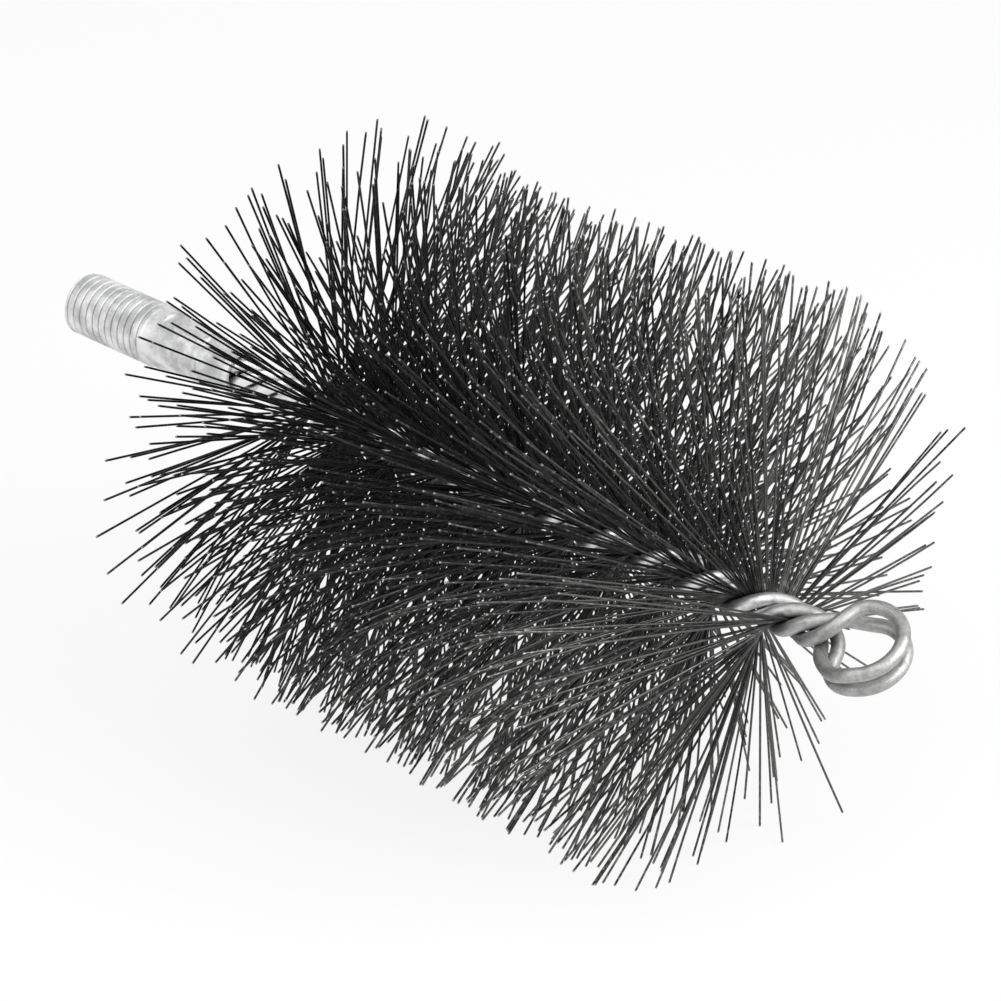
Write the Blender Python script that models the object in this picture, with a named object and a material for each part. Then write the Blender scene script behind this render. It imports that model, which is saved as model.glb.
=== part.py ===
"""Flue brush: steel bristles held in a twisted double-wire stem.

The brush lies on its bristles.  +X runs along the stem from the threaded ferrule
to the pull eye, +Z is up, and the origin is on the floor under the middle of the
brush.  All sizes are in metres and all angles at the top are in degrees.
"""
import math
import random

import bmesh
import bpy
from mathutils import Vector, kdtree

# Ferrule: a threaded bush, bored from the brush end and crimped on the wires
THREAD_DIAMETER = 0.0120
THREAD_LENGTH = 0.0218
THREAD_CHAMFER = 0.0011
SHANK_DIAMETER = 0.0117
SHANK_LENGTH = 0.0222
SHANK_SHOULDER = 0.0004
FERRULE_WALL = 0.0010
BORE_DEPTH = 0.0200
BORE_CHAMFER = 0.0005
CRIMP_SIDES = 6
CRIMP_START = 0.0030
FIRST_CRIMP_LENGTH = 0.0092
END_COLLAR_LENGTH = 0.0012
CRIMP_STEP = 0.0006
CRIMP_BITES = (0.00025, 0.00040)
CRIMP_TURNS = (8.0, 22.0)

# Stem: two wires, each bent back on itself at the eye, so four strands are twisted.
# The turns are counted over the bristled length, and the bare front has its own turn length.
WIRE_DIAMETER = 0.0022
CLEARANCE = 0.0003
LEG_GAP = 0.00045
REAR_BARE_LENGTH = 0.0190
BRISTLE_LENGTH = 0.1140
FRONT_BARE_LENGTH = 0.0072
TWIST_TURNS = 5.18
FRONT_TURN_LENGTH = 0.0200
TWIST_CHANGE_LENGTH = 0.0030
PAIR_ANGLE_AT_NECK = 116.0

# Pull eye: one round loop in each wire, one above the other
LOOP_RADIUS = 0.00735
LOOP_PAST_NECK = 0.00075
LOOP_RISE = 0.0002
LOWER_LOOP_INSET = 0.00045
LOWER_LOOP_SETBACK = 0.0003
UPPER_LOOP_CLEAR = (0.0015, -0.0006)
LOWER_LOOP_CLEAR = (0.0008, 0.0021)
UPPER_LOOP_ANGLES = (111.0, -114.0)
LOWER_LOOP_ANGLES = (108.0, -124.0)
LOOP_DROP_START = -60.0
LOOP_DROP_PAST_END = 5.0
UPPER_LEGS_BEFORE_NECK = (0.0013, 0.0061)
LOWER_LEGS_BEFORE_NECK = (0.0024, 0.0005)
UPPER_BEND_PULLS = (1.7, 1.1, 1.5, 1.6)
LOWER_BEND_PULLS = (1.7, 1.4, 1.1, 1.4)

# Bristles: cut wires laid across the stem between the two pairs of strands.  The model has
# one wire of every four, and these stray from their places by a smaller share of the spreads.
# Flare is how far they reach past the brush's radius, and lean is toward the ferrule: both
# are given at the back, the middle and the front of the row.
BRUSH_DIAMETER = 0.1060
BRISTLE_FLARE = (0.0005, -0.0003, 0.0020)
BRISTLE_LEAN = (1.0, 11.0, 11.5)
BRISTLE_THICKNESS = 0.00036
REST_CUT = 0.0005
SLICE_COUNT = 20
WIRES_PER_SLICE = 44
WIRES_TO_A_BRISTLE = 4
SLICE_GAP = 0.0003
LENGTH_SPREAD = 0.0058
LEAN_SPREAD = 5.5
SIDE_SPREAD = 3.5
STRAIGHTER = 0.4

# Fineness of the round shapes
POINTS_PER_TURN = 10
POINTS_PER_LOOP = 24
POINTS_PER_BEND = 5
FERRULE_POINTS = 36

FERRULE_LENGTH = THREAD_LENGTH + SHANK_LENGTH
WIRE_RADIUS = WIRE_DIAMETER / 2
TURN_LENGTH = BRISTLE_LENGTH / TWIST_TURNS
SLANT = math.atan(2 * math.pi / TURN_LENGTH * WIRE_DIAMETER)
FRONT_SLANT = math.atan(2 * math.pi / FRONT_TURN_LENGTH * WIRE_DIAMETER)
STRAND_OFFSET = (WIRE_RADIUS + CLEARANCE / 2) / math.cos(SLANT)
BARE_OFFSET = (WIRE_RADIUS + CLEARANCE / 2) / math.cos(FRONT_SLANT)
BARE_LIFT = (WIRE_RADIUS + LEG_GAP / 2) / math.cos(FRONT_SLANT)
BORE_RADIUS = math.hypot(BARE_OFFSET, BARE_LIFT) + WIRE_RADIUS + CLEARANCE
SHANK_END_RADIUS = BORE_RADIUS + FERRULE_WALL
BRUSH_RADIUS = BRUSH_DIAMETER / 2
BRISTLES_START = FERRULE_LENGTH + REAR_BARE_LENGTH
BRISTLES_END = BRISTLES_START + BRISTLE_LENGTH
NECK = BRISTLES_END + FRONT_BARE_LENGTH
EYE_CENTRE = NECK + LOOP_PAST_NECK + LOOP_RADIUS
OVERALL_LENGTH = EYE_CENTRE + LOOP_RADIUS + WIRE_RADIUS
STEM_HEIGHT = BRUSH_RADIUS - REST_CUT
WIRE_START = FERRULE_LENGTH - BORE_DEPTH + 2 * CLEARANCE
MODELLED_WIRES = range(WIRES_TO_A_BRISTLE // 2, WIRES_PER_SLICE, WIRES_TO_A_BRISTLE)
BRISTLES_PER_SLICE = len(MODELLED_WIRES)


def smooth(value, start, end):
    """Rise from 0 at start to 1 at end without a kink."""
    share = min(max((value - start) / (end - start), 0.0), 1.0)
    return share * share * (3 - 2 * share)


def mix(first, second, share):
    return first + (second - first) * share


def turn_at(x):
    """Angle that the stem has turned through at x, in radians."""
    slow = 2 * math.pi / TURN_LENGTH
    fast = 2 * math.pi / FRONT_TURN_LENGTH
    share = min(max((x - BRISTLES_END) / TWIST_CHANGE_LENGTH, 0.0), 1.0)
    change = TWIST_CHANGE_LENGTH * (share ** 3 - share ** 4 / 2)
    beyond = max(x - BRISTLES_END - TWIST_CHANGE_LENGTH, 0.0)
    return slow * x + (fast - slow) * (change + beyond)


def pair_angle(x):
    """Angle round the stem of the outgoing pair; the twist is left-handed."""
    return math.radians(PAIR_ANGLE_AT_NECK) + turn_at(NECK) - turn_at(x)


def layer_lift():
    """Height of a pair over the middle of the bristle layer, which slants under the strands."""
    slant = math.atan(2 * math.pi / TURN_LENGTH * STRAND_OFFSET)
    return BRISTLE_THICKNESS / 2 + (WIRE_RADIUS + CLEARANCE) / math.cos(slant)


def place_in_turn(x, across, out):
    """Place beside the stem's middle, in axes that turn with the outgoing pair."""
    angle = pair_angle(x)
    y = out * math.cos(angle) - across * math.sin(angle)
    z = out * math.sin(angle) + across * math.cos(angle)
    return Vector((x, y, z))


def strand_point(x, side, layer):
    """Centre of one strand; side is 1 for the upper wire, layer is 1 for the outgoing pair."""
    front = smooth(x, BRISTLES_END, BRISTLES_END + TWIST_CHANGE_LENGTH)
    rear = 1 - smooth(x, BRISTLES_START - TWIST_CHANGE_LENGTH, BRISTLES_START)
    bare = max(front, rear)
    across = side * mix(STRAND_OFFSET, BARE_OFFSET, bare)
    return place_in_turn(x, across, layer * mix(layer_lift(), BARE_LIFT, bare))


def eye_axes():
    """Rise and facing directions of the eye, square to the stem."""
    angle = math.radians(PAIR_ANGLE_AT_NECK)
    facing = Vector((0.0, math.cos(angle), math.sin(angle)))
    rise = Vector((0.0, math.sin(angle), -math.cos(angle)))
    return rise, facing


def loop_point(angle, radius, setback, heights, last_angle):
    """Point of a loop, which drops from its first height to its last on the way back."""
    rise, facing = eye_axes()
    drop = smooth(-angle, -LOOP_DROP_START, LOOP_DROP_PAST_END - last_angle)
    turn = math.radians(angle)
    along = EYE_CENTRE - setback + radius * math.cos(turn)
    up = LOOP_RISE + radius * math.sin(turn)
    return Vector((along, 0.0, 0.0)) + rise * up + facing * mix(heights[0], heights[1], drop)


def direction(curve, place, step):
    return (curve(place + step) - curve(place)).normalized()


def bend(start, start_way, end, end_way, pulls):
    """Smooth bend between two places, each left in its own direction."""
    reach = (end - start).length
    first = start_way * reach * pulls[0]
    last = end_way * reach * pulls[1]
    points = []
    for count in range(1, POINTS_PER_BEND + 1):
        t = count / (POINTS_PER_BEND + 1)
        point = start * (2 * t ** 3 - 3 * t ** 2 + 1) + first * (t ** 3 - 2 * t ** 2 + t)
        points.append(point + end * (3 * t ** 2 - 2 * t ** 3) + last * (t ** 3 - t ** 2))
    return points


def leg_points(side, layer, last):
    """Twisted leg of a wire, from inside the ferrule to the place where it leaves the twist."""
    steps = math.ceil((last - WIRE_START) / TURN_LENGTH * POINTS_PER_TURN)
    return [strand_point(mix(WIRE_START, last, i / steps), side, layer) for i in range(steps + 1)]


def wire_points(side, radius, setback, heights, angles, legs_before_neck, pulls):
    """Whole centre line of one wire: out through the twist, round the eye and back."""
    def loop(angle):
        return loop_point(angle, radius, setback, heights, angles[1])

    out_end, back_start = (NECK - reach for reach in legs_before_neck)
    out = leg_points(side, 1, out_end)
    back = leg_points(side, -1, back_start)
    back.reverse()
    steps = math.ceil((angles[0] - angles[1]) / 360 * POINTS_PER_LOOP)
    around = [loop(mix(angles[0], angles[1], i / steps)) for i in range(steps + 1)]
    out_way = direction(lambda x: strand_point(x, side, 1), out_end, 1e-5)
    back_way = direction(lambda x: strand_point(x, side, -1), back_start, -1e-5)
    to_loop = bend(out[-1], out_way, around[0], direction(loop, angles[0], -0.1), pulls[:2])
    from_loop = bend(around[-1], direction(loop, angles[1], -0.1), back[0], back_way, pulls[2:])
    return out + to_loop + around + from_loop + back


def points_along(points, spacing):
    """Places along a line of points, close enough to measure gaps on."""
    places = []
    for start, end in zip(points, points[1:]):
        steps = max(1, math.ceil((end - start).length / spacing))
        places += [start.lerp(end, i / steps) for i in range(steps)]
    return places + [points[-1]]


def least_gap(first, second, apart):
    """Least gap between two wires, or between places of one wire more than apart along it."""
    spacing = WIRE_RADIUS / 4
    ones = points_along(first, spacing)
    others = points_along(second, spacing)
    skip = math.ceil(apart / spacing)
    grid = kdtree.KDTree(len(others))
    for index, place in enumerate(others):
        grid.insert(place, index)
    grid.balance()
    least = math.inf
    for index, place in enumerate(ones):
        near = grid.find_range(place, 2 * WIRE_DIAMETER)
        least = min([least] + [gap for _, other, gap in near if not skip or abs(other - index) > skip])
    return least - WIRE_DIAMETER


def steel(name, colour, roughness, metallic):
    material = bpy.data.materials.new(name)
    material.use_nodes = True
    shader = material.node_tree.nodes["Principled BSDF"]
    shader.inputs["Base Color"].default_value = (*colour, 1.0)
    shader.inputs["Roughness"].default_value = roughness
    shader.inputs["Metallic"].default_value = metallic
    return material


def add_object(name, data, material, parent):
    data.materials.append(material)
    piece = bpy.data.objects.new(name, data)
    piece.parent = parent
    bpy.context.collection.objects.link(piece)
    return piece


def mesh_from(bm, name):
    bmesh.ops.recalc_face_normals(bm, faces=bm.faces)
    mesh = bpy.data.meshes.new(name)
    bm.to_mesh(mesh)
    bm.free()
    mesh.shade_smooth()
    mesh.set_sharp_from_angle(angle=math.radians(30))
    return mesh


def shank_radius(x):
    """Radius of the shank's round bar, which tapers toward the brush."""
    return mix(SHANK_DIAMETER / 2, SHANK_END_RADIUS, (x - THREAD_LENGTH) / SHANK_LENGTH)


def crimped_radius(x, angle, bite, turn):
    """Radius of the shank where flats are pressed in by the depth of the bite."""
    side = 2 * math.pi / CRIMP_SIDES
    off_flat = (angle - math.radians(turn)) % side - side / 2
    return min(shank_radius(x), (shank_radius(x) - bite) / math.cos(off_flat))


def ring(bm, x, radius_at):
    """Ring of points round the stem; radius_at gives the radius at an angle."""
    angles = [2 * math.pi * i / FERRULE_POINTS for i in range(FERRULE_POINTS)]
    return [bm.verts.new((x, radius_at(a) * math.cos(a), radius_at(a) * math.sin(a))) for a in angles]


def join_rings(bm, rings):
    for first, second in zip(rings, rings[1:]):
        for i in range(FERRULE_POINTS):
            j = (i + 1) % FERRULE_POINTS
            bm.faces.new((first[i], first[j], second[j], second[i]))


def ferrule_mesh():
    """One turned bush: plain for the thread, tapered and pressed to flats, with a blind bore."""
    bm = bmesh.new()
    thread = THREAD_DIAMETER / 2
    profile = [(0.0, thread - THREAD_CHAMFER), (THREAD_CHAMFER, thread), (THREAD_LENGTH, thread)]
    rings = [ring(bm, x, lambda a, r=r: r) for x, r in profile]
    first = THREAD_LENGTH + CRIMP_START
    second = first + FIRST_CRIMP_LENGTH + 2 * CRIMP_STEP
    collar = FERRULE_LENGTH - END_COLLAR_LENGTH
    for x in (THREAD_LENGTH + SHANK_SHOULDER, first):
        rings.append(ring(bm, x, lambda a, x=x: shank_radius(x)))
    bites = [(first + CRIMP_STEP, second - CRIMP_STEP), (second, collar - CRIMP_STEP)]
    for ends, bite, turn in zip(bites, CRIMP_BITES, CRIMP_TURNS):
        for x in ends:
            rings.append(ring(bm, x, lambda a, x=x: crimped_radius(x, a, bite, turn)))
    for x in (collar, FERRULE_LENGTH):
        rings.append(ring(bm, x, lambda a, x=x: shank_radius(x)))
    floor = FERRULE_LENGTH - BORE_DEPTH
    bore = [(FERRULE_LENGTH, BORE_RADIUS + BORE_CHAMFER), (FERRULE_LENGTH - BORE_CHAMFER, BORE_RADIUS)]
    bore.append((floor, BORE_RADIUS))
    rings += [ring(bm, x, lambda a, r=r: r) for x, r in bore]
    join_rings(bm, rings)
    bm.faces.new(rings[0])
    bm.faces.new(rings[-1])
    return mesh_from(bm, "threaded_ferrule")


def wire_curve(name, points):
    """One unbroken round wire along its centre line."""
    curve = bpy.data.curves.new(name, "CURVE")
    curve.dimensions = "3D"
    curve.bevel_depth = WIRE_RADIUS
    curve.bevel_resolution = 1
    curve.use_fill_caps = True
    spline = curve.splines.new("POLY")
    spline.points.add(len(points) - 1)
    for place, point in zip(spline.points, points):
        place.co = (*point, 1.0)
    return curve


def along_row(sizes, x):
    """Size at x, on the smooth curve through the sizes at the back, middle and front of the row."""
    back, middle, front = sizes
    place = 2 * (x - BRISTLES_START) / BRISTLE_LENGTH - 1
    return middle + (front - back) / 2 * place + ((front + back) / 2 - middle) * place ** 2


def turn_within(spread, chance):
    """Turn in radians that is mostly small and never more than the spread."""
    return math.radians(spread * (chance.random() + chance.random() - 1))


def bristle_way(x, side, share, chance):
    """Run of one bristle for each unit out from the stem; it strays by this share of the spreads."""
    angle = pair_angle(x) + side * math.pi / 2 + turn_within(share * SIDE_SPREAD, chance)
    lean = math.radians(along_row(BRISTLE_LEAN, x)) + turn_within(share * LEAN_SPREAD, chance)
    return Vector((-math.tan(lean), math.cos(angle), math.sin(angle)))


def bristle_reach(x, way, chance):
    """Tip's distance from the stem's middle line; those that the brush rests on are full length."""
    full = BRUSH_RADIUS + along_row(BRISTLE_FLARE, x)
    shortfall = LENGTH_SPREAD * chance.random() ** 2
    rests = -way.z * BRUSH_RADIUS > STEM_HEIGHT - REST_CUT
    return full if rests else full - shortfall


def slice_tips(number):
    """Way and reach of both tips of each wire that the real brush has in one slice."""
    chance = random.Random(number)
    length = BRISTLE_LENGTH / SLICE_COUNT
    tips = []
    for wire in range(WIRES_PER_SLICE):
        x = BRISTLES_START + (number + (wire + 0.5) / WIRES_PER_SLICE) * length
        share = STRAIGHTER if wire in MODELLED_WIRES else 1.0
        pair = {}
        for side in (1, -1):
            way = bristle_way(x, side, share, chance)
            pair[side] = (way, bristle_reach(x, way, chance))
        tips.append(pair)
    return tips


def add_bristle(bm, root, way, out):
    """Grow a four-sided bristle from its root, cut flat where it would pass through the floor."""
    tips = []
    for corner in root:
        tip = corner.co + way * out
        if tip.z < -STEM_HEIGHT:
            tip = corner.co + way * ((STEM_HEIGHT + corner.co.z) / -way.z)
        tips.append(bm.verts.new(tip))
    for i in range(4):
        j = (i + 1) % 4
        bm.faces.new((root[i], root[j], tips[j], tips[i]))
    bm.faces.new(tips)


def slice_cuts(number):
    """Places along the stem where the bristles of one slice begin and end, in turn."""
    length = BRISTLE_LENGTH / SLICE_COUNT
    start = BRISTLES_START + number * length + SLICE_GAP / 2
    step = (length - SLICE_GAP - BRISTLE_THICKNESS) / (BRISTLES_PER_SLICE - 1)
    roots = [start + i * step for i in range(BRISTLES_PER_SLICE)]
    return [cut for root in roots for cut in (root, root + BRISTLE_THICKNESS)]


def bristle_slice_mesh(number, name):
    """A short length of the clamped layer with its bristles standing out on both sides."""
    bm = bmesh.new()
    tips = slice_tips(number)
    half_width = STRAND_OFFSET + WIRE_RADIUS
    half_height = BRISTLE_THICKNESS / 2
    cuts = slice_cuts(number)
    corners = [(half_width, half_height), (half_width, -half_height),
               (-half_width, -half_height), (-half_width, half_height)]
    frames = [[bm.verts.new(place_in_turn(x, across, out)) for across, out in corners] for x in cuts]
    bm.faces.new(frames[0])
    bm.faces.new(frames[-1])
    for i, (first, second) in enumerate(zip(frames, frames[1:])):
        for corner, side in ((0, 1), (1, 0), (2, -1), (3, 0)):
            after = (corner + 1) % 4
            quad = (first[corner], first[after], second[after], second[corner])
            if side and i % 2 == 0:
                way, reach = tips[MODELLED_WIRES[i // 2]][side]
                add_bristle(bm, quad, way, reach - half_width)
            else:
                bm.faces.new(quad)
    return mesh_from(bm, name)


def build():
    for old in list(bpy.data.objects):
        bpy.data.objects.remove(old)

    zinc = steel("bright_zinc", (0.78, 0.78, 0.77), 0.32, 1.0)
    wire = steel("satin_steel_wire", (0.52, 0.52, 0.51), 0.35, 1.0)
    spring = steel("dark_spring_steel", (0.06, 0.06, 0.06), 0.45, 0.8)

    stem = bpy.data.objects.new("stem_axis", None)
    stem.location = (-OVERALL_LENGTH / 2, 0.0, STEM_HEIGHT)
    bpy.context.collection.objects.link(stem)

    add_object("threaded_ferrule", ferrule_mesh(), zinc, stem)

    above = [WIRE_RADIUS + clear for clear in UPPER_LOOP_CLEAR]
    below = [-WIRE_RADIUS - clear for clear in LOWER_LOOP_CLEAR]
    upper = wire_points(1, LOOP_RADIUS, 0.0, above, UPPER_LOOP_ANGLES,
                        UPPER_LEGS_BEFORE_NECK, UPPER_BEND_PULLS)
    lower = wire_points(-1, LOOP_RADIUS - LOWER_LOOP_INSET, LOWER_LOOP_SETBACK, below,
                        LOWER_LOOP_ANGLES, LOWER_LEGS_BEFORE_NECK, LOWER_BEND_PULLS)
    add_object("stem_wire_upper", wire_curve("stem_wire_upper", upper), wire, stem)
    add_object("stem_wire_lower", wire_curve("stem_wire_lower", lower), wire, stem)

    for number in range(SLICE_COUNT):
        name = f"bristle_slice_{number + 1:02d}"
        add_object(name, bristle_slice_mesh(number, name), spring, stem)

    along = 4 * WIRE_DIAMETER
    print(f"least gap of the upper wire to itself {least_gap(upper, upper, along) * 1000:.2f} mm")
    print(f"least gap of the lower wire to itself {least_gap(lower, lower, along) * 1000:.2f} mm")
    print(f"least gap between the two wires {least_gap(upper, lower, 0.0) * 1000:.2f} mm")


build()
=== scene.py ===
"""Looks of a flue brush head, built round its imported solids.

All sizes are in metres, and angles given as named values are in degrees.  +X runs along
the stem from the threaded ferrule to the pull eye, +Z is up, and the brush lies on its
bristles on the floor at z = 0.  An angle round the stem is 0 toward +Y and 90 upward.
"""

import math
import random

import bpy
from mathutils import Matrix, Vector


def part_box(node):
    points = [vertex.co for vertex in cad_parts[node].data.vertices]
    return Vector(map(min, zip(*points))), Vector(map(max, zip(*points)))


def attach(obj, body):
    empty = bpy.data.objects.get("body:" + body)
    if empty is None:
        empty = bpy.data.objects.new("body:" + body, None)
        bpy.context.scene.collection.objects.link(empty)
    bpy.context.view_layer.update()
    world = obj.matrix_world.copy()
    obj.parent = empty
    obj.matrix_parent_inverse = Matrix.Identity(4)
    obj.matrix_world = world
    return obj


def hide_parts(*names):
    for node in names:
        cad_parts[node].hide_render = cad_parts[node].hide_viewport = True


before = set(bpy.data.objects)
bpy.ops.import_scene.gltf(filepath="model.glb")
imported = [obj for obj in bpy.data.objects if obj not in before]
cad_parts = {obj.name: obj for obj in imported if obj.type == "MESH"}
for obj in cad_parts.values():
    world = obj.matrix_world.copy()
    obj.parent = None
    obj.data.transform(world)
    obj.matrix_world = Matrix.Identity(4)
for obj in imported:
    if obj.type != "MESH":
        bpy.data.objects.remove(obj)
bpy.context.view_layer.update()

# Places that come from the solids
FERRULE_LOW, FERRULE_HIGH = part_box("threaded_ferrule")
FERRULE_START = FERRULE_LOW.x
FERRULE_END = FERRULE_HIGH.x
AXIS_HEIGHT = (FERRULE_LOW.z + FERRULE_HIGH.z) / 2
THREAD_RADIUS = (FERRULE_HIGH.y - FERRULE_LOW.y) / 2
EYE_END = max(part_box("stem_wire_upper")[1].x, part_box("stem_wire_lower")[1].x)
BRISTLE_NODES = sorted(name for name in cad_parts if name.startswith("bristle_slice"))

# Threaded and crimped ferrule
THREAD_LENGTH = 0.0218
THREAD_PITCH = 0.00175
THREAD_DEPTH = 0.00045
GROOVE_SHARE_OF_PITCH = 0.28
THREAD_CHAMFER = 0.0011
THREAD_RUNOUT = 0.0012
SHANK_RADIUS = 0.00585
SHANK_END_RADIUS = 0.00435
SHANK_SHOULDER = 0.0004
BORE_RADIUS = 0.0034
BORE_DEPTH = 0.0100
BORE_CHAMFER = 0.0004
CRIMP_SIDES = 6
CRIMP_STEP = 0.0005
CRIMP_EDGE = 0.00008
# Each bite of the crimping tool, with its place from the free end
CRIMP_BITES = (
    {"start": 0.0248, "end": 0.0350, "depth": 0.00030, "turn": 8.0},
    {"start": 0.0356, "end": 0.0426, "depth": 0.00045, "turn": 22.0},
)
FERRULE_ROWS = 560
FERRULE_AROUND = 96
WELD_DISTANCE = 0.000002

# Twisted stem wires, which are pressed together as the real ones are
WIRE_RADIUS = 0.00124
STRAND_CLEARANCE = 0.00001
LEG_CLEARANCE = 0.00002
BURIED_LENGTH = 0.0095
REAR_BARE_LENGTH = 0.0190
BRISTLED_LENGTH = 0.1140
FRONT_BARE_LENGTH = 0.0072
TWIST_TURNS = 5.18
FRONT_TURN_LENGTH = 0.0200
TWIST_CHANGE_LENGTH = 0.0030
PAIR_ANGLE_AT_NECK = 116.0
WIRE_SIDES = 20
POINTS_PER_TURN = 44
POINTS_PER_LOOP = 96
POINTS_PER_BEND = 18
# Short steps that show which way a curve runs, along a strand and round a loop
STEP_ALONG_STRAND = 0.00001
STEP_ROUND_LOOP = 0.1

# Pull eye: one loop in each wire
LOOP_RADIUS = 0.00712
LOOP_SETBACK = 0.0003
LOOP_RISE = 0.0002
LOOP_DROP_START = -60.0
LOOP_DROP_PAST_END = 5.0
# The angles and heights are those at which a loop starts and ends, the legs are how far
# before the neck its two strands leave the twist, and the pulls are how strongly each end
# of the two bends between loop and legs keeps its own direction
UPPER_LOOP = {
    "side": 1,
    "inset": 0.0,
    "setback": 0.0,
    "heights": (0.0026, 0.0005),
    "angles": (111.0, -114.0),
    "legs": (0.0013, 0.0061),
    "pulls": (1.7, 1.1, 1.5, 1.6),
}
LOWER_LOOP = {
    "side": -1,
    "inset": 0.00045,
    "setback": 0.0003,
    "heights": (-0.0019, -0.0032),
    "angles": (108.0, -124.0),
    "legs": (0.0024, 0.0005),
    "pulls": (1.7, 1.4, 1.1, 1.4),
}

# Bristles: cut wires clamped between the strands, two tips to a wire
BRUSH_RADIUS = 0.0530
REST_CUT = 0.0005
BRISTLE_DIAMETER = 0.00041
HELD_FROM_AXIS = 0.00258
BRISTLE_POINTS = 7
BRISTLE_SIDES = 6
WIRES_PER_SLICE = 44
FRONT_THINNING = 0.35
# Every fourth wire is also in the solids, in the same place.  It has no bend or splay, a
# lean of its own, and only a share of the loose wires' spread in lean and side
WIRES_TO_A_SOLID_ONE = 4
SOLID_SHARE_OF_SPREAD = 0.5
# Flare, past the brush's radius, and lean toward the ferrule, at the back, middle and front
BRISTLE_FLARE = (0.0005, -0.0003, 0.0020)
SOLID_LEAN = (1.0, 11.0, 11.5)
LOOSE_LEAN = (1.0, 5.5, 11.5)
# How far chance takes a bristle's length, angles and bend; the bend is a share of its reach
LENGTH_SPREAD = 0.0058
LEAN_SPREAD = 4.4
SIDE_SPREAD = 2.8
STRAY_SPREAD = 16.0
BEND_SPREAD = 0.050
# Loose bristles splay on one side and one stretch of the row.  A splay starts, is full,
# fades and ends at the places that it is over, from -1 at the back to 1 at the front, and
# it faces toward an angle round the stem, takes lean away and changes the reach
SPLAYS = (
    {"over": (-0.3, 0.3, 0.5, 1.0), "toward": 54.0, "upright": 8.0, "longer": 0.0010},
    {"over": (-3.0, -2.0, -1.0, -0.2), "toward": 212.0, "upright": 9.0, "longer": -0.0035},
    {"over": (-3.0, -2.0, -1.0, -0.5), "toward": 64.0, "upright": 3.0, "longer": 0.0060},
)
# What places a bristle, and the seed of its looks past that of its places
PLACING_FACTS = ("start", "run", "bend")
LOOKS_SEED = 1000

# Camera: the photograph's view; the lens and the film are in millimetres
CAMERA_AZIMUTH = 43.1
CAMERA_ELEVATION = 28.2
CAMERA_DISTANCE = 0.780
CAMERA_LENS = 161.4
FILM_WIDTH = 36.0
AIM_LEFT = 0.00765
AIM_UP = 0.00127

# Floor, room and lamps
FLOOR_HALF = 4.0
FLOOR_GREY = 0.82
FLOOR_ROUGHNESS = 0.9
FLOOR_GLOW = 0.86
ROOM_LIGHT = 0.18
CEILING_GREY = 0.22
CEILING_RISE = 0.65
# A lamp's place is right, up and toward the camera from the brush
LAMPS = (
    {"name": "key_lamp", "place": (0.75, 0.35, 0.62), "size": 0.70, "power": 12.0},
    {"name": "fill_lamp", "place": (-0.50, 0.50, 0.80), "size": 1.20, "power": 8.0},
    {"name": "top_lamp", "place": (0.20, 0.90, 0.30), "size": 1.00, "power": 2.5},
)

BRISTLES_START = FERRULE_END + REAR_BARE_LENGTH
BRISTLES_END = BRISTLES_START + BRISTLED_LENGTH
NECK = BRISTLES_END + FRONT_BARE_LENGTH
TURN_LENGTH = BRISTLED_LENGTH / TWIST_TURNS
EYE_CENTRE = EYE_END - LOOP_SETBACK - LOOP_RADIUS - WIRE_RADIUS
WIRE_START = FERRULE_END - BURIED_LENGTH
THREAD_END = FERRULE_START + THREAD_LENGTH
THREAD_ROOT = THREAD_RADIUS - THREAD_DEPTH

# Stretches of the stem over which the bristles' painted light and shade, the wire's gloss and painted
# light, and the wire's painted shade change
PAINTED_LIGHT_FADES = (BRISTLES_START - 0.005, BRISTLES_END)
GLOSS_AND_LIGHT_FADES = (BRISTLES_END - 0.008, BRISTLES_END + 0.002)
STRAND_SHADE_FADES = (NECK - 0.001, NECK + 0.004)


def slant_spread(turn_length):
    """How much wider a strand's cut across the stem is than the strand."""
    return 1 / math.cos(math.atan(2 * math.pi / turn_length * 2 * WIRE_RADIUS))


STRAND_OFFSET = (WIRE_RADIUS + STRAND_CLEARANCE) * slant_spread(TURN_LENGTH)
BARE_OFFSET = (WIRE_RADIUS + STRAND_CLEARANCE) * slant_spread(FRONT_TURN_LENGTH)
LAYER_LIFT = STRAND_OFFSET + BRISTLE_DIAMETER / 2
BARE_LIFT = (WIRE_RADIUS + LEG_CLEARANCE) * slant_spread(FRONT_TURN_LENGTH)


class Value:
    """One socket of a node tree; arithmetic on it adds Math nodes to that tree."""

    def __init__(self, graph, socket):
        self.graph = graph
        self.socket = socket

    def other(self, name):
        """Another output of the same node."""
        return Value(self.graph, self.socket.node.outputs[name])

    def __add__(self, other):
        return self.graph.math("ADD", self, other)

    def __radd__(self, other):
        return self.graph.math("ADD", other, self)

    def __sub__(self, other):
        return self.graph.math("SUBTRACT", self, other)

    def __rsub__(self, other):
        return self.graph.math("SUBTRACT", other, self)

    def __mul__(self, other):
        return self.graph.math("MULTIPLY", self, other)

    def __rmul__(self, other):
        return self.graph.math("MULTIPLY", other, self)

    def __truediv__(self, other):
        return self.graph.math("DIVIDE", self, other)

    def __rtruediv__(self, other):
        return self.graph.math("DIVIDE", other, self)

    def __mod__(self, other):
        return self.graph.math("FLOORED_MODULO", self, other)


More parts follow.
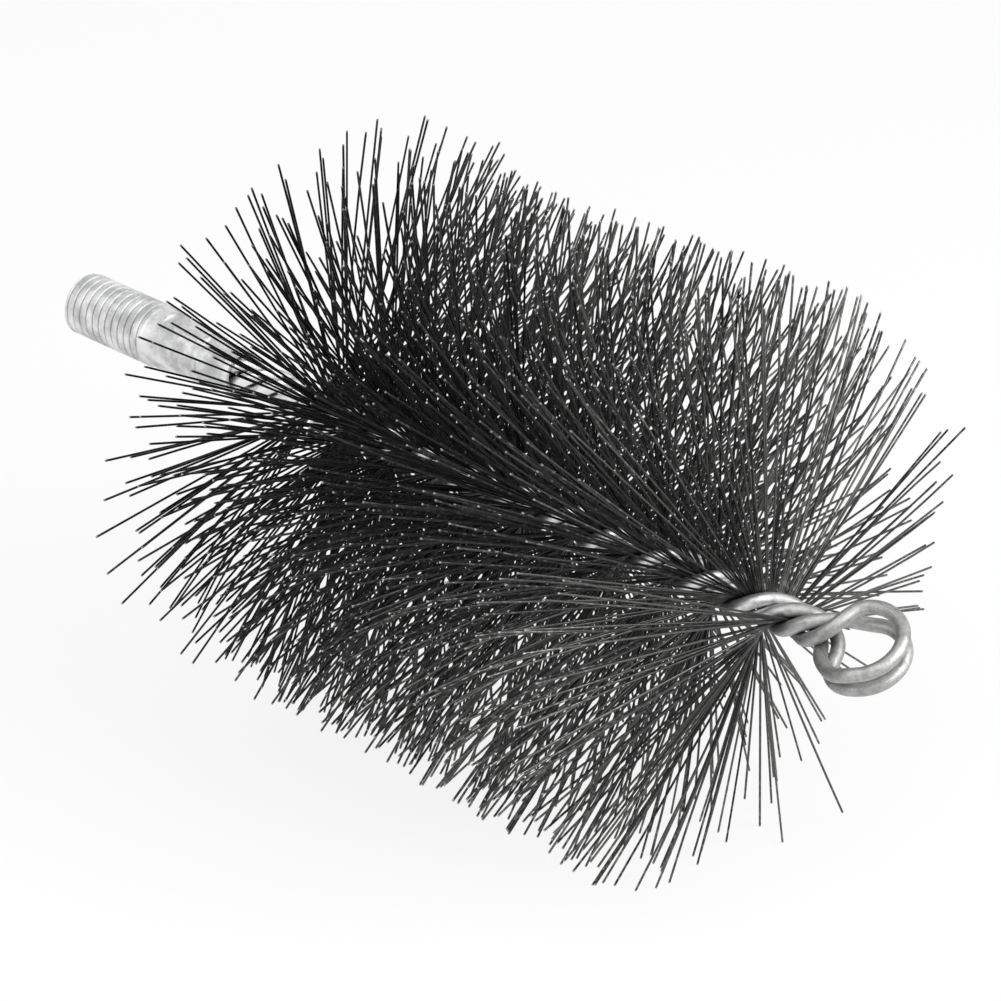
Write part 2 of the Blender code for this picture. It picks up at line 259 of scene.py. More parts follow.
class Graph:
    """A shader tree or a geometry tree that is written as expressions."""

    def __init__(self, tree):
        self.tree = tree

    def node(self, kind, settings, values, output=0):
        """Add a node, set its settings, then its sockets' values or links, and give one output."""
        made = self.tree.nodes.new(kind)
        for name, setting in settings.items():
            setattr(made, name, setting)
        for key, value in values.items():
            if isinstance(value, Value):
                self.tree.links.new(value.socket, made.inputs[key])
            else:
                made.inputs[key].default_value = value
        return Value(self, made.outputs[output]) if made.outputs else None

    def math(self, operation, *values):
        """Result of a Math node."""
        return self.node("ShaderNodeMath", {"operation": operation}, dict(enumerate(values)))

    def smooth(self, value, start, end):
        """Rise from 0 at start to 1 at end without a kink."""
        return self.node("ShaderNodeMapRange", {"interpolation_type": "SMOOTHSTEP"},
                         {"Value": value, "From Min": start, "From Max": end})

    def vector(self, x, y, z):
        """Vector made of its three parts."""
        return self.node("ShaderNodeCombineXYZ", {}, {"X": x, "Y": y, "Z": z})

    def moved(self, vector, step):
        """Vector with a step added to it."""
        return self.node("ShaderNodeVectorMath", {"operation": "ADD"}, {0: vector, 1: step})

    def split(self, vector):
        """X, Y and Z of a vector."""
        x = self.node("ShaderNodeSeparateXYZ", {}, {"Vector": vector})
        return x, x.other("Y"), x.other("Z")

    def mix(self, share, first, second):
        """Colour between two colours."""
        return self.node("ShaderNodeMix", {"data_type": "RGBA"}, {0: share, 6: first, 7: second}, 2)


def grey(level, warmth=0.0):
    """Nearly neutral colour; warmth moves it from blue toward yellow."""
    return (level * (1 + warmth), level, level * (1 - warmth), 1.0)


def new_material(name):
    """Material with its Principled shader, and the graph of its tree."""
    material = bpy.data.materials.new(name)
    material.use_nodes = True
    graph = Graph(material.node_tree)
    return material, graph, material.node_tree.nodes["Principled BSDF"]


def feed(graph, shader, name, value):
    """Link a varying value to one of the shader's sockets."""
    graph.tree.links.new(value.socket, shader.inputs[name])


# Colours of the metals; where there are two, the finish varies between them
# The bristles' two pairs of greys are painted light and shade: the darker pair at the back and by the
# roots, the paler pair toward the front tips
PAINTED_SHADE_STEEL = grey(0.011, 0.01), grey(0.046, 0.02)
PAINTED_LIGHT_STEEL = grey(0.014, 0.01), grey(0.115, 0.02)
RUBBED_STEEL = grey(0.34, 0.01)
CUT_STEEL = grey(0.40)
DRAWN_WIRE = grey(0.36, 0.005), grey(0.58, 0.005)
GRAINY_WIRE = grey(0.26, 0.01)
# Very pale wire colour is painted light for the strands on the bristled stretch
POLISHED_WIRE_PAINTED_LIGHT = grey(0.88)
AGED_WIRE = grey(0.20, 0.02)
PITTED_WIRE = grey(0.20, 0.01)
# Painted shade for the strands where they press together in the twist
STRAND_PAINTED_SHADE = grey(0.07, 0.02)
ZINC_BLOOM = grey(0.90), grey(0.52, -0.005)
THREAD_PAINTED_SHADE = grey(0.14, 0.01)
ZINC_SPECK = grey(0.36, 0.01)

# Fineness of the marks on the metals, in waves to a metre
SCUFF_WAVES = 900.0
SCALE_WAVES = 2600.0
GRAIN_WAVES = 1300.0
AGE_WAVES = 380.0
PIT_WAVES = 2300.0
BLOOM_WAVES = 240.0
SPECK_WAVES = 1700.0
TURNING_WAVES = (5200.0, 900.0)

# Fineness of the die lines, round the wire and along it
DIE_LINES = (9.0, 60.0)

# Heights of the marks on the metals
SCALE_HEIGHT = 0.00005
MARK_HEIGHT = 0.00006


def attribute(graph, name, output="Fac"):
    """Value that the shape's tree stored on each point."""
    return graph.node("ShaderNodeAttribute", {"attribute_name": name}, {}, output)


def place_in_metal(graph):
    """Place on the object, its x, and its distance from the stem's middle line."""
    place = graph.node("ShaderNodeTexCoord", {}, {}, "Object")
    x, y, z = graph.split(place)
    up = z - AXIS_HEIGHT
    return place, x, graph.math("SQRT", y * y + up * up)


def noise(graph, vector, scale, detail=3.0, roughness=0.55):
    """Cloudy pattern from 0 to 1."""
    return graph.node("ShaderNodeTexNoise", {},
                      {"Vector": vector, "Scale": scale, "Detail": detail, "Roughness": roughness})


def bump(graph, height, strength, distance):
    """Slope that a height gives a surface."""
    return graph.node("ShaderNodeBump", {},
                      {"Height": height, "Strength": strength, "Distance": distance}, "Normal")


def spring_steel():
    """Dark tempered wire, with painted shade darker toward the back and the roots and painted light paler
    toward the front tips, scuffed flanks and a bright cut at each tip.
    """
    material, graph, shader = new_material("dark_spring_steel")
    shade = attribute(graph, "shade")
    reach = attribute(graph, "toward_tip")
    place, x, _ = place_in_metal(graph)
    # Painted light and shade: the bristles' colour is darker at the back and near the stem and paler
    # toward the front tips, as the light fell on the brush
    painted_light_toward_eye = graph.smooth(x, *PAINTED_LIGHT_FADES)
    scuff = graph.smooth(noise(graph, place, SCUFF_WAVES), 0.48, 0.72)
    worn = graph.smooth(reach, 0.55, 1.0) * 0.5 + 0.15
    painted_shade_colour = graph.mix(shade, *PAINTED_SHADE_STEEL)
    painted_light_colour = graph.mix(shade, *PAINTED_LIGHT_STEEL)
    dark = graph.mix(painted_light_toward_eye * (graph.smooth(reach, 0.0, 0.6) * 0.7 + 0.3), painted_shade_colour, painted_light_colour)
    # The scuffs are wear, but they grow stronger toward the front along with the painted light
    rubbed = graph.mix(scuff * worn * (0.3 + painted_light_toward_eye * 0.7), dark, RUBBED_STEEL)
    cut = graph.smooth(reach, 0.993, 0.999)
    feed(graph, shader, "Base Color", graph.mix(cut, rubbed, CUT_STEEL))
    feed(graph, shader, "Roughness", 0.40 - scuff * 0.10)
    shader.inputs["Metallic"].default_value = 0.90
    feed(graph, shader, "Normal", bump(graph, noise(graph, place, SCALE_WAVES), 0.25, SCALE_HEIGHT))
    return material


def drawn_wire():
    """Satin steel wire with die lines along it, painted shade where the strands meet, and painted light
    along the bristled stretch.
    """
    material, graph, shader = new_material("satin_steel_wire")
    along = attribute(graph, "along")
    facing = attribute(graph, "facing", "Vector")
    across, out, _ = graph.split(facing)
    place, x, distance = place_in_metal(graph)
    round_wire, along_wire = DIE_LINES
    stretched = graph.vector(across * round_wire, out * round_wire, along * along_wire)
    lines = noise(graph, stretched, 1.6, 4.0, 0.6)
    grain = graph.smooth(noise(graph, place, GRAIN_WAVES, 3.0, 0.7), 0.40, 0.66)
    cloud = noise(graph, place, AGE_WAVES, 3.0, 0.6)
    pit = graph.smooth(noise(graph, place, PIT_WAVES, 2.0, 0.5), 0.64, 0.74)
    in_twist = 1 - graph.smooth(x, *STRAND_SHADE_FADES)
    # Painted shade: the wire is darkened near the stem's middle line, where the strands press together, as
    # far as the neck
    painted_strand_shade = (1 - graph.smooth(distance, STRAND_OFFSET * 0.75, STRAND_OFFSET * 1.75)) * in_twist
    # On the bristled stretch the wire is glossier, and its much paler colour is painted light where the
    # bristles shade it
    polish_and_painted_light = 1 - graph.smooth(x, *GLOSS_AND_LIGHT_FADES)
    drawn = graph.mix(graph.smooth(lines, 0.30, 0.70), *DRAWN_WIRE)
    grainy = graph.mix(grain * 0.45, drawn, GRAINY_WIRE)
    brightened = graph.mix(polish_and_painted_light, grainy, POLISHED_WIRE_PAINTED_LIGHT)
    aged = graph.mix(graph.smooth(cloud, 0.48, 0.72) * 0.55, brightened, AGED_WIRE)
    pitted = graph.mix(pit * 0.55, aged, PITTED_WIRE)
    feed(graph, shader, "Base Color", graph.mix(painted_strand_shade * 0.85, pitted, STRAND_PAINTED_SHADE))
    feed(graph, shader, "Roughness", 0.43 - polish_and_painted_light * 0.16 + lines * 0.12 + cloud * 0.10 + painted_strand_shade * 0.20)
    shader.inputs["Metallic"].default_value = 0.95
    height = lines * 0.5 - pit * 0.5 + cloud * 0.3 - grain * 0.4
    feed(graph, shader, "Normal", bump(graph, height, 0.35, MARK_HEIGHT))
    return material


def zinc_plate():
    """Bright zinc with a cloudy bloom, turning lines, and painted shade in the thread's roots that also
    darkens the flat free end.
    """
    material, graph, shader = new_material("bright_zinc_plate")
    place, x, distance = place_in_metal(graph)
    cloud = noise(graph, place, BLOOM_WAVES, 4.0, 0.6)
    speck = graph.smooth(noise(graph, place, SPECK_WAVES, 2.0, 0.5), 0.62, 0.76)
    along_stem, outward = TURNING_WAVES
    lines = noise(graph, graph.vector(x * along_stem, distance * outward, 0.0), 1.0, 2.0, 0.5)
    # Painted shade: the thread's roots are darkened, and so is the flat free end, which lies inside the
    # roots' radius
    in_thread = 1 - graph.smooth(x, THREAD_END, THREAD_END + SHANK_SHOULDER)
    in_groove = 1 - graph.smooth(distance, THREAD_ROOT, THREAD_RADIUS - THREAD_DEPTH * 0.05)
    root = in_groove * in_thread
    plate = graph.mix(graph.smooth(cloud, 0.32, 0.68), *ZINC_BLOOM)
    shaded = graph.mix(root * 0.90, plate, THREAD_PAINTED_SHADE)
    feed(graph, shader, "Base Color", graph.mix(speck * 0.55, shaded, ZINC_SPECK))
    feed(graph, shader, "Roughness", 0.48 + cloud * 0.14 + root * 0.15)
    shader.inputs["Metallic"].default_value = 0.60
    feed(graph, shader, "Normal", bump(graph, lines * 0.5 + cloud * 0.5 - speck * 0.4, 0.40, MARK_HEIGHT))
    return material


def geometry_tree(name, sizes):
    """Geometry tree with a named input for each size and one for its finish."""
    tree = bpy.data.node_groups.new(name, "GeometryNodeTree")
    tree.interface.new_socket("Geometry", in_out="INPUT", socket_type="NodeSocketGeometry")
    for label, kind in sizes.items():
        tree.interface.new_socket(label, in_out="INPUT", socket_type="NodeSocket" + kind)
    tree.interface.new_socket("Finish", in_out="INPUT", socket_type="NodeSocketMaterial")
    tree.interface.new_socket("Geometry", in_out="OUTPUT", socket_type="NodeSocketGeometry")
    graph = Graph(tree)
    return graph, graph.node("NodeGroupInput", {}, {})


def end_tree(graph, given, geometry):
    """Shade the shape smooth, realise its copies and give it its finish."""
    smooth = graph.node("GeometryNodeSetShadeSmooth", {}, {"Geometry": geometry})
    real = graph.node("GeometryNodeRealizeInstances", {}, {"Geometry": smooth})
    made = graph.node("GeometryNodeSetMaterial", {}, {"Geometry": real, "Material": given.other("Finish")})
    graph.node("NodeGroupOutput", {}, {"Geometry": made})
    return graph.tree


def named(graph, geometry, name, kind, value):
    """Store a value on each point, for the finish to read."""
    return graph.node("GeometryNodeStoreNamedAttribute", {"data_type": kind, "domain": "POINT"},
                      {"Geometry": geometry, "Name": name, "Value": value})


def make_piece(name, tree, guide, sizes, replaced):
    """Run a tree on a guide, keep the result as a plain mesh, and set it in the frame."""
    carrier = bpy.data.objects.new(name + "_guide", guide)
    bpy.context.scene.collection.objects.link(carrier)
    modifier = carrier.modifiers.new("shape", "NODES")
    modifier.node_group = tree
    for socket in tree.interface.items_tree:
        if socket.in_out == "INPUT" and socket.name in sizes:
            modifier[socket.identifier] = sizes[socket.name]
    evaluated = carrier.evaluated_get(bpy.context.evaluated_depsgraph_get())
    mesh = bpy.data.meshes.new_from_object(evaluated)
    carrier.modifiers.remove(modifier)
    bpy.data.objects.remove(carrier)
    mesh.name = name
    piece = bpy.data.objects.new(name, mesh)
    bpy.context.scene.collection.objects.link(piece)
    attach(piece, "root")
    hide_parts(*replaced)


def line_guide(name, points):
    """Open line of straight pieces through points."""
    guide = bpy.data.curves.new(name, "CURVE")
    guide.dimensions = "3D"
    spline = guide.splines.new("POLY")
    spline.points.add(len(points) - 1)
    for place, point in zip(spline.points, points):
        place.co = (*point, 1.0)
    return guide


def smooth_step(value, start, end):
    """Rise from 0 at start to 1 at end without a kink."""
    share = min(max((value - start) / (end - start), 0.0), 1.0)
    return share * share * (3 - 2 * share)


def between(first, second, share):
    """Size or place at a share of the way from the first to the second."""
    return first + (second - first) * share


def turned_at(x):
    """Angle that the stem has turned through at x, in radians."""
    slow = 2 * math.pi / TURN_LENGTH
    fast = 2 * math.pi / FRONT_TURN_LENGTH
    share = min(max((x - BRISTLES_END) / TWIST_CHANGE_LENGTH, 0.0), 1.0)
    change = TWIST_CHANGE_LENGTH * (share ** 3 - share ** 4 / 2)
    beyond = max(x - BRISTLES_END - TWIST_CHANGE_LENGTH, 0.0)
    return slow * x + (fast - slow) * (change + beyond)


def pair_angle(x):
    """Angle round the stem of the outgoing pair of strands; the twist is left-handed."""
    return math.radians(PAIR_ANGLE_AT_NECK) + turned_at(NECK) - turned_at(x)


def strand_point(x, side, layer):
    """Centre of a strand; side is 1 for the upper wire, layer is 1 for the outgoing pair."""
    front = smooth_step(x, BRISTLES_END, BRISTLES_END + TWIST_CHANGE_LENGTH)
    rear = 1 - smooth_step(x, BRISTLES_START - TWIST_CHANGE_LENGTH, BRISTLES_START)
    bare = max(front, rear)
    across = side * between(STRAND_OFFSET, BARE_OFFSET, bare)
    out = layer * between(LAYER_LIFT, BARE_LIFT, bare)
    angle = pair_angle(x)
    y = out * math.cos(angle) - across * math.sin(angle)
    z = out * math.sin(angle) + across * math.cos(angle)
    return Vector((x, y, AXIS_HEIGHT + z))


def loop_point(loop, angle):
    """Point of a loop at an angle round the eye; it drops on its way back to the neck."""
    facing_angle = math.radians(PAIR_ANGLE_AT_NECK)
    facing = Vector((0.0, math.cos(facing_angle), math.sin(facing_angle)))
    rise = Vector((0.0, math.sin(facing_angle), -math.cos(facing_angle)))
    drop = smooth_step(-angle, -LOOP_DROP_START, LOOP_DROP_PAST_END - loop["angles"][1])
    radius = LOOP_RADIUS - loop["inset"]
    turn = math.radians(angle)
    middle = Vector((EYE_CENTRE - loop["setback"] + radius * math.cos(turn), 0.0, AXIS_HEIGHT))
    up = LOOP_RISE + radius * math.sin(turn)
    return middle + rise * up + facing * between(*loop["heights"], drop)


def way_along(curve, place, step):
    """Direction of a curve at a place on it, seen over a short step."""
    return (curve(place + step) - curve(place)).normalized()


def bend_between(start, start_way, end, end_way, pulls):
    """Smooth bend between two places, each left in its own direction."""
    reach = (end - start).length
    first = start_way * reach * pulls[0]
    last = end_way * reach * pulls[1]
    points = []
    for count in range(1, POINTS_PER_BEND + 1):
        t = count / (POINTS_PER_BEND + 1)
        point = start * (2 * t ** 3 - 3 * t ** 2 + 1) + first * (t ** 3 - 2 * t ** 2 + t)
        points.append(point + end * (3 * t ** 2 - 2 * t ** 3) + last * (t ** 3 - t ** 2))
    return points


def wire_path(loop):
    """Centre line of one stem wire: out through the twist, round the eye and back."""
    side = loop["side"]
    ends = [NECK - leg for leg in loop["legs"]]
    strands = []
    for layer, end in zip((1, -1), ends):
        steps = math.ceil((end - WIRE_START) / TURN_LENGTH * POINTS_PER_TURN)
        places = [between(WIRE_START, end, count / steps) for count in range(steps + 1)]
        strands.append([strand_point(x, side, layer) for x in places])
    out, back = strands
    back.reverse()
    first, last = loop["angles"]
    steps = math.ceil((first - last) / 360 * POINTS_PER_LOOP)
    around = [loop_point(loop, between(first, last, count / steps)) for count in range(steps + 1)]
    out_way = way_along(lambda x: strand_point(x, side, 1), ends[0], STEP_ALONG_STRAND)
    back_way = way_along(lambda x: strand_point(x, side, -1), ends[1], -STEP_ALONG_STRAND)
    start_way = way_along(lambda angle: loop_point(loop, angle), first, -STEP_ROUND_LOOP)
    end_way = way_along(lambda angle: loop_point(loop, angle), last, -STEP_ROUND_LOOP)
    to_loop = bend_between(out[-1], out_way, around[0], start_way, loop["pulls"][:2])
    from_loop = bend_between(around[-1], end_way, back[0], back_way, loop["pulls"][2:])
    return out + to_loop + around + from_loop + back


def wire_tree():
    """Round wire drawn along its guide."""
    graph, given = geometry_tree("drawn_wire_along_path", {"Radius": "Float", "Sides": "Int"})
    length = graph.node("GeometryNodeSplineParameter", {}, {}, "Length")
    path = named(graph, given.other("Geometry"), "along", "FLOAT", length)
    circle = graph.node("GeometryNodeCurvePrimitiveCircle", {"mode": "RADIUS"},
                        {"Resolution": given.other("Sides"), "Radius": given.other("Radius")})
    place = graph.node("GeometryNodeInputPosition", {}, {})
    unit = graph.node("ShaderNodeVectorMath", {"operation": "NORMALIZE"}, {0: place})
    section = named(graph, circle, "facing", "FLOAT_VECTOR", unit)
    wire = graph.node("GeometryNodeCurveToMesh", {},
                      {"Curve": path, "Profile Curve": section, "Fill Caps": True})
    return end_tree(graph, given, wire)


def ferrule_profile():
    """Half outline of the bush, from the middle of its free end round to the bore's floor."""
    length = FERRULE_END - FERRULE_START
    return [
        (0.0, 0.0),
        (0.0, THREAD_RADIUS - THREAD_CHAMFER),
        (THREAD_CHAMFER, THREAD_RADIUS),
        (THREAD_LENGTH, THREAD_RADIUS),
        (THREAD_LENGTH + SHANK_SHOULDER, SHANK_RADIUS),
        (length, SHANK_END_RADIUS),
        (length, BORE_RADIUS + BORE_CHAMFER),
        (length - BORE_CHAMFER, BORE_RADIUS),
        (length - BORE_DEPTH, BORE_RADIUS),
        (length - BORE_DEPTH, 0.0),
    ]


def ferrule_tree():
    """Bush turned from its outline, with a helical thread cut in it and flats pressed in it."""
    sizes = {"Rows": "Int", "Around": "Int", "Thread Radius": "Float", "Thread Length": "Float",
             "Pitch": "Float", "Depth": "Float", "Runout": "Float", "Sides": "Int"}
    for label in ("First", "Second"):
        for size in ("Start", "End", "Bite", "Turn"):
            sizes[f"{label} {size}"] = "Float"
    sizes["Place"] = "Vector"
    graph, given = geometry_tree("threaded_and_crimped_bush", sizes)
    grid = graph.node("GeometryNodeMeshGrid", {},
                      {"Size X": 1.0, "Size Y": 1.0, "Vertices X": given.other("Rows"),
                       "Vertices Y": given.other("Around") + 1})
    across, around, _ = graph.split(graph.node("GeometryNodeInputPosition", {}, {}))
    around = around + 0.5
    angle = around * (2 * math.pi)
    outline = graph.node("GeometryNodeSampleCurve", {"mode": "FACTOR"},
                         {"Curves": given.other("Geometry"), "Factor": across + 0.5}, "Position")
    x, radius, _ = graph.split(outline)

    phase = (x / given.other("Pitch") - around) % 1.0
    flank = graph.math("ABSOLUTE", phase - 0.5) * 2.0
    groove = 1 - graph.smooth(flank, 0.0, GROOVE_SHARE_OF_PITCH)
    ending = 1 - graph.smooth(x, given.other("Thread Length") - given.other("Runout"),
                              given.other("Thread Length"))
    cut = given.other("Depth") * groove * ending
    turned = graph.math("MINIMUM", radius, given.other("Thread Radius") - cut)

    side = 2 * math.pi / given.other("Sides")
    for label in ("First", "Second"):
        start = given.other(label + " Start")
        end = given.other(label + " End")
        pressed = graph.smooth(x, start, start + CRIMP_STEP) * (1 - graph.smooth(x, end - CRIMP_STEP, end))
        off_flat = (angle - given.other(label + " Turn")) % side - side / 2
        flat = (radius - given.other(label + " Bite") * pressed) / graph.math("COSINE", off_flat)
        turned = graph.math("SMOOTH_MIN", turned, flat, CRIMP_EDGE * pressed)

    place = graph.vector(x, turned * graph.math("COSINE", angle), turned * graph.math("SINE", angle))
    place = graph.moved(place, given.other("Place"))
    shape = graph.node("GeometryNodeSetPosition", {}, {"Geometry": grid, "Position": place})
    closed = graph.node("GeometryNodeMergeByDistance", {}, {"Geometry": shape, "Distance": WELD_DISTANCE})
    return end_tree(graph, given, closed)


def bristle_tree():
    """A bristle from each point of the guide, along its own run and bend."""
    sizes = {"Diameter": "Float", "Points": "Int", "Sides": "Int"}
    graph, given = geometry_tree("bristles_from_roots", sizes)
    line = graph.node("GeometryNodeCurvePrimitiveLine", {"mode": "POINTS"},
                      {"Start": (0.0, 0.0, 0.0), "End": (0.0, 0.0, 1.0)})
    line = graph.node("GeometryNodeResampleCurve", {"mode": "COUNT"},
                      {"Curve": line, "Count": given.other("Points")})
    copies = graph.node("GeometryNodeInstanceOnPoints", {},
                        {"Points": given.other("Geometry"), "Instance": line})
    real = graph.node("GeometryNodeRealizeInstances", {}, {"Geometry": copies})

    def fact(name):
        return graph.node("GeometryNodeInputNamedAttribute", {"data_type": "FLOAT_VECTOR"}, {"Name": name})

    def scaled(vector, factor):
        return graph.node("ShaderNodeVectorMath", {"operation": "SCALE"}, {0: vector, "Scale": factor})

    t = graph.node("GeometryNodeSplineParameter", {}, {}, "Factor")
    place = graph.moved(graph.moved(fact("start"), scaled(fact("run"), t)), scaled(fact("bend"), t * t))
    x, y, z = graph.split(place)
    on_floor = graph.vector(x, y, graph.math("MAXIMUM", z, given.other("Diameter") / 2))
    bent = graph.node("GeometryNodeSetPosition", {}, {"Geometry": real, "Position": on_floor})
    marked = named(graph, bent, "toward_tip", "FLOAT", t)
    circle = graph.node("GeometryNodeCurvePrimitiveCircle", {"mode": "RADIUS"},
                        {"Resolution": given.other("Sides"), "Radius": given.other("Diameter") / 2})
    bristles = graph.node("GeometryNodeCurveToMesh", {},
                          {"Curve": marked, "Profile Curve": circle, "Fill Caps": True})
    for name in PLACING_FACTS:
        bristles = graph.node("GeometryNodeRemoveAttribute", {}, {"Geometry": bristles, "Name": name})
    return end_tree(graph, given, bristles)


def make_ferrule(finish):
    """The threaded and crimped bush."""
    sizes = {"Rows": FERRULE_ROWS, "Around": FERRULE_AROUND, "Thread Radius": THREAD_RADIUS,
             "Thread Length": THREAD_LENGTH, "Pitch": THREAD_PITCH, "Depth": THREAD_DEPTH,
             "Runout": THREAD_RUNOUT, "Sides": CRIMP_SIDES,
             "Place": (FERRULE_START, 0.0, AXIS_HEIGHT), "Finish": finish}
    for label, bite in zip(("First", "Second"), CRIMP_BITES):
        sizes[label + " Start"] = bite["start"]
        sizes[label + " End"] = bite["end"]
        sizes[label + " Bite"] = bite["depth"]
        sizes[label + " Turn"] = math.radians(bite["turn"])
    guide = line_guide("ferrule_outline", [(x, radius, 0.0) for x, radius in ferrule_profile()])
    make_piece("ferrule", ferrule_tree(), guide, sizes, ["threaded_ferrule"])


def make_stem(finish):
    """The two wires of the stem, each with its loop of the eye."""
    tree = wire_tree()
    for name, loop in (("upper", UPPER_LOOP), ("lower", LOWER_LOOP)):
        guide = line_guide(name + "_wire_path", wire_path(loop))
        sizes = {"Radius": WIRE_RADIUS, "Sides": WIRE_SIDES, "Finish": finish}
        make_piece(name + "_stem_wire", tree, guide, sizes, ["stem_wire_" + name])


def place_in_row(x):
    """Place of x in the row of bristles, from -1 at the back to 1 at the front."""
    return 2 * (x - BRISTLES_START) / BRISTLED_LENGTH - 1


def along_row(sizes, x):
    """Size at x, on the smooth curve through its sizes at the back, middle and front of the row."""
    back, middle, front = sizes
    place = place_in_row(x)
    return middle + (front - back) / 2 * place + ((front + back) / 2 - middle) * place * place


def turn_within(spread, chance):
    """Turn in radians that is mostly small and never more than the spread."""
    return math.radians(spread * (chance.random() + chance.random() - 1))


def stray_turn(chance):
    """Turn in radians that is next to nothing for most bristles, and large for one here and there."""
    return math.radians(STRAY_SPREAD * (chance.random() + chance.random() - 1) ** 5)


def bristle_reach(x, down, chance):
    """Tip's distance from the stem's middle line; those that the brush rests on are full length."""
    full = BRUSH_RADIUS + along_row(BRISTLE_FLARE, x)
    shortfall = LENGTH_SPREAD * chance.random() ** 2
    rests = down * BRUSH_RADIUS > AXIS_HEIGHT - REST_CUT
    return full if rests else full - shortfall


def splay_share(splay, x, angle):
    """How far a bristle follows a splay: most on its stretch of the row and on the side it faces."""
    start, full, fading, end = splay["over"]
    place = place_in_row(x)
    on_stretch = smooth_step(place, start, full) * (1 - smooth_step(place, fading, end))
    return on_stretch * max(math.cos(angle - math.radians(splay["toward"])), 0.0) ** 2


def bristle_facts(x, side, in_solids, placing, looks):
    """Start, run, bend and shade of one bristle."""
    spread = SOLID_SHARE_OF_SPREAD if in_solids else 1.0
    layer = pair_angle(x) + side * math.pi / 2
    angle = layer + turn_within(spread * SIDE_SPREAD, placing)
    mean_lean = along_row(SOLID_LEAN if in_solids else LOOSE_LEAN, x)
    lean = math.radians(mean_lean) + turn_within(spread * LEAN_SPREAD, placing)
    reach = bristle_reach(x, -math.sin(angle), placing)
    bend = Vector((0.0, 0.0, 0.0))
    if not in_solids:
        for splay in SPLAYS:
            share = splay_share(splay, x, angle)
            lean -= math.radians(splay["upright"]) * share
            reach += splay["longer"] * share
        angle += stray_turn(looks)
        lean += stray_turn(looks)
        sideways = Vector((0.0, -math.sin(angle), math.cos(angle)))
        endways = Vector((1.0, 0.0, 0.0))
        bows = [looks.uniform(-1, 1) ** 3 for _ in range(2)]
        bend = reach * BEND_SPREAD * (sideways * bows[0] + endways * bows[1])
    way = Vector((-math.tan(lean), math.cos(angle), math.sin(angle)))
    held = Vector((x, HELD_FROM_AXIS * math.cos(layer), AXIS_HEIGHT + HELD_FROM_AXIS * math.sin(layer)))
    start = held - way * HELD_FROM_AXIS
    if way.z < 0:
        reach = min(reach, start.z / -way.z)
    return {"start": start, "run": way * reach, "bend": bend, "shade": looks.random()}


def slice_guide(number):
    """One point for each bristle of a slice, with the bristle's facts."""
    placing = random.Random(number)
    looks = random.Random(number + LOOKS_SEED)
    length = BRISTLED_LENGTH / len(BRISTLE_NODES)
    facts = []
    for wire in range(WIRES_PER_SLICE):
        x = BRISTLES_START + (number + (wire + 0.5) / WIRES_PER_SLICE) * length
        in_solids = wire % WIRES_TO_A_SOLID_ONE == WIRES_TO_A_SOLID_ONE // 2
        pair = [bristle_facts(x, side, in_solids, placing, looks) for side in (1, -1)]
        if in_solids or looks.random() > FRONT_THINNING * max(place_in_row(x), 0.0):
            facts += pair
    guide = bpy.data.meshes.new("bristle_roots")
    guide.from_pydata([fact["start"] for fact in facts], [], [])
    for name in PLACING_FACTS:
        kept = guide.attributes.new(name, "FLOAT_VECTOR", "POINT")
        kept.data.foreach_set("vector", [size for fact in facts for size in fact[name]])
    kept = guide.attributes.new("shade", "FLOAT", "POINT")
    kept.data.foreach_set("value", [fact["shade"] for fact in facts])
    return guide


def make_bristles(finish):
    """The bristles, a piece for each slice of the row."""
    tree = bristle_tree()
    sizes = {"Diameter": BRISTLE_DIAMETER, "Points": BRISTLE_POINTS, "Sides": BRISTLE_SIDES,
             "Finish": finish}
    for number, node in enumerate(BRISTLE_NODES):
        make_piece(f"bristles_{number + 1:02d}", tree, slice_guide(number), sizes, [node])


def make_floor():
    """Wide pale floor, nearly white to the camera, that keeps the brush's shadow."""
    mesh = bpy.data.meshes.new("floor")
    corners = [(FLOOR_HALF * x, FLOOR_HALF * y, 0.0) for x, y in ((-1, -1), (1, -1), (1, 1), (-1, 1))]
    mesh.from_pydata(corners, [], [(0, 1, 2, 3)])
    floor = bpy.data.objects.new("floor", mesh)
    bpy.context.scene.collection.objects.link(floor)
    material, graph, shader = new_material("pale_floor")
    shader.inputs["Base Color"].default_value = grey(FLOOR_GREY)
    shader.inputs["Roughness"].default_value = FLOOR_ROUGHNESS
    glow = graph.node("ShaderNodeEmission", {}, {"Color": grey(1.0), "Strength": 1.0})
    seen = seen_rays(graph)
    surface = Value(graph, shader.outputs[0])
    both = graph.node("ShaderNodeMixShader", {}, {0: seen * FLOOR_GLOW, 1: surface, 2: glow})
    graph.tree.links.new(both.socket, material.node_tree.nodes["Material Output"].inputs["Surface"])
    mesh.materials.append(material)


def seen_rays(graph):
    """1 for what the camera sees directly or in a reflection, else 0."""
    camera = graph.node("ShaderNodeLightPath", {}, {}, "Is Camera Ray")
    glossy = camera.other("Is Glossy Ray")
    through = camera.other("Is Transmission Ray")
    return graph.math("MINIMUM", camera + glossy + through, 1.0)


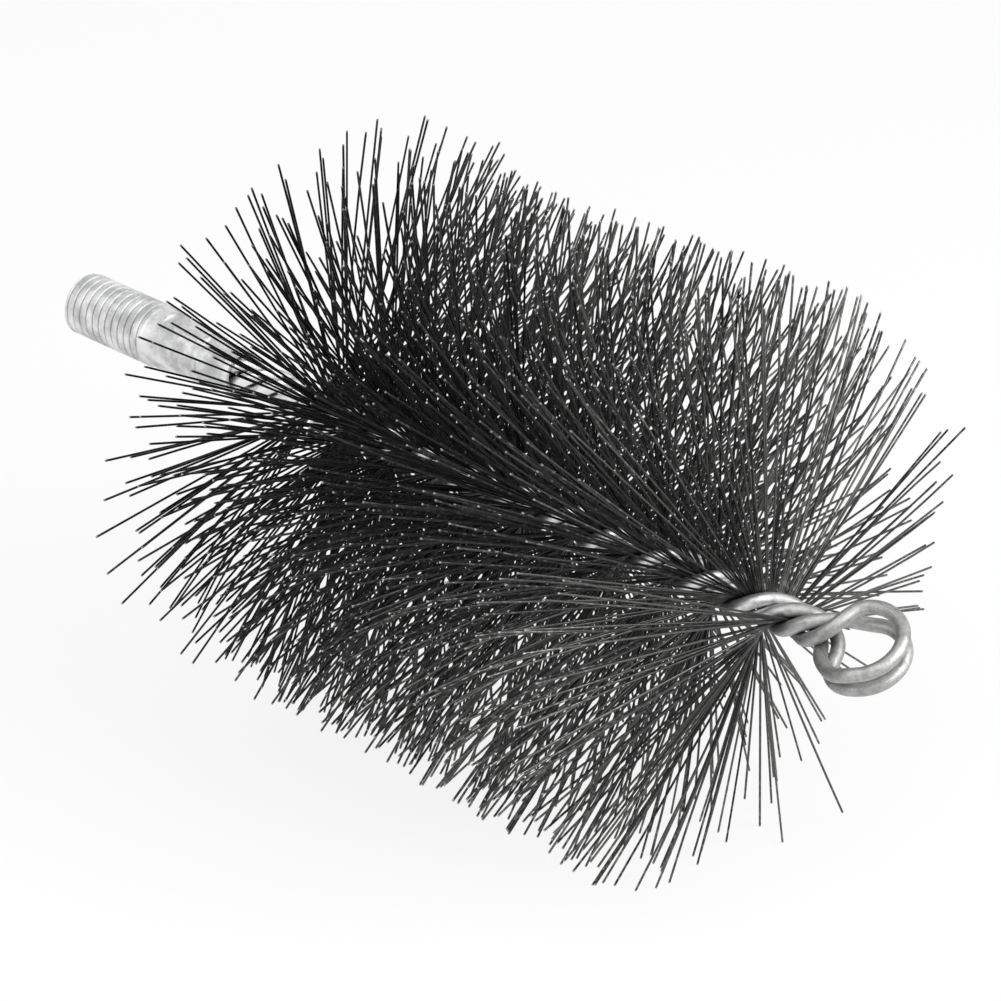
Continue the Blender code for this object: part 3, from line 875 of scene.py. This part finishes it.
def make_room():
    """Room light: white round the horizon and grey overhead, as a studio is."""
    world = bpy.data.worlds.new("studio")
    world.use_nodes = True
    bpy.context.scene.world = world
    graph = Graph(world.node_tree)
    way = graph.node("ShaderNodeTexCoord", {}, {}, "Generated")
    _, _, up = graph.split(way)
    white = 1 - graph.smooth(up, 0.0, CEILING_RISE) * (1 - CEILING_GREY)
    seen = seen_rays(graph)
    strength = seen * white + (1 - seen) * ROOM_LIGHT
    background = world.node_tree.nodes["Background"]
    background.inputs["Color"].default_value = grey(1.0)
    graph.tree.links.new(strength.socket, background.inputs["Strength"])


def view_axes():
    """Forward, right and up of the photograph's view."""
    azimuth = math.radians(CAMERA_AZIMUTH)
    elevation = math.radians(CAMERA_ELEVATION)
    forward = Vector((-math.sin(azimuth) * math.cos(elevation), math.cos(azimuth) * math.cos(elevation),
                      -math.sin(elevation)))
    right = Vector((math.cos(azimuth), math.sin(azimuth), 0.0))
    return forward, right, right.cross(forward)


def make_camera():
    """Camera at the photograph's angle, aimed a little left of and above the row's middle."""
    forward, right, up = view_axes()
    middle = Vector(((BRISTLES_START + BRISTLES_END) / 2, 0.0, AXIS_HEIGHT))
    camera = bpy.data.objects.new("camera", bpy.data.cameras.new("camera"))
    camera.data.lens = CAMERA_LENS
    camera.data.sensor_width = FILM_WIDTH
    camera.location = middle - forward * CAMERA_DISTANCE
    aim = middle - right * AIM_LEFT + up * AIM_UP
    camera.rotation_euler = (aim - camera.location).to_track_quat("-Z", "Y").to_euler()
    bpy.context.scene.collection.objects.link(camera)
    bpy.context.scene.camera = camera


def make_lamp(name, place, size, power):
    """Square soft lamp, turned to the brush."""
    forward, right, up = view_axes()
    middle = Vector((0.0, 0.0, AXIS_HEIGHT))
    lamp = bpy.data.objects.new(name, bpy.data.lights.new(name, "AREA"))
    lamp.data.size = size
    lamp.data.energy = power
    lamp.location = middle + right * place[0] + up * place[1] - forward * place[2]
    lamp.rotation_euler = (middle - lamp.location).to_track_quat("-Z", "Y").to_euler()
    bpy.context.scene.collection.objects.link(lamp)


make_ferrule(zinc_plate())
make_stem(drawn_wire())
make_bristles(spring_steel())
make_floor()
make_room()
make_camera()
for lamp_facts in LAMPS:
    make_lamp(**lamp_facts)
bpy.context.scene.view_settings.view_transform = "Standard"
